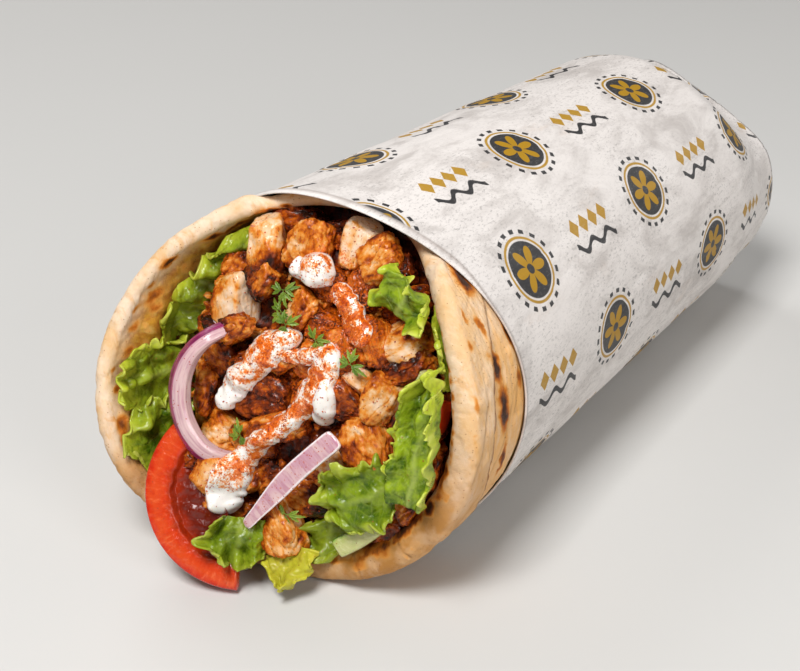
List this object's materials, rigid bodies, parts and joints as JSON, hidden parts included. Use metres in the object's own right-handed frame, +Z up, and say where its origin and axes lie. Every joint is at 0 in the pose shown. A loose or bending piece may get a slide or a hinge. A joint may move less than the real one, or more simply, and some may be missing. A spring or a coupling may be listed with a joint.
{
  "type": "shawarma sandwich",
  "caption": "Chicken shawarma rolled in flatbread, lying in a folded paper sleeve, open at one end to show chicken, sauce, lettuce, tomato and onion.",
  "frame": {"origin": "middle of the object's box on the surface it lies on", "axes": "+X along the roll from its open end to its folded tail, +Z up; the side seen to the right of the open end is -Y"},
  "size_m": [0.2151, 0.09, 0.0878],
  "materials": {
    "bread": "matte",
    "paper": "matte",
    "chicken": "satin",
    "lettuce": "satin",
    "tomato": "gloss",
    "onion": "satin",
    "cucumber": "satin"
  },
  "bodies": {
    "root": {"bread": "bread", "paper_sleeve": "paper", "filling": "chicken", "lettuce_hanging": "lettuce", "lettuce_left_high": "lettuce", "lettuce_left_low": "lettuce", "lettuce_low": "lettuce", "lettuce_low_left": "lettuce", "lettuce_low_right": "lettuce", "lettuce_right": "lettuce", "lettuce_right_back": "lettuce", "lettuce_top_right": "lettuce", "lettuce_upper_left": "lettuce", "tomato_slice": "tomato", "tomato_bit": "tomato", "onion_ring": "onion", "onion_strip": "onion", "cucumber_stick": "cucumber", "cucumber_bit": "cucumber"}
  },
  "joints": []
}
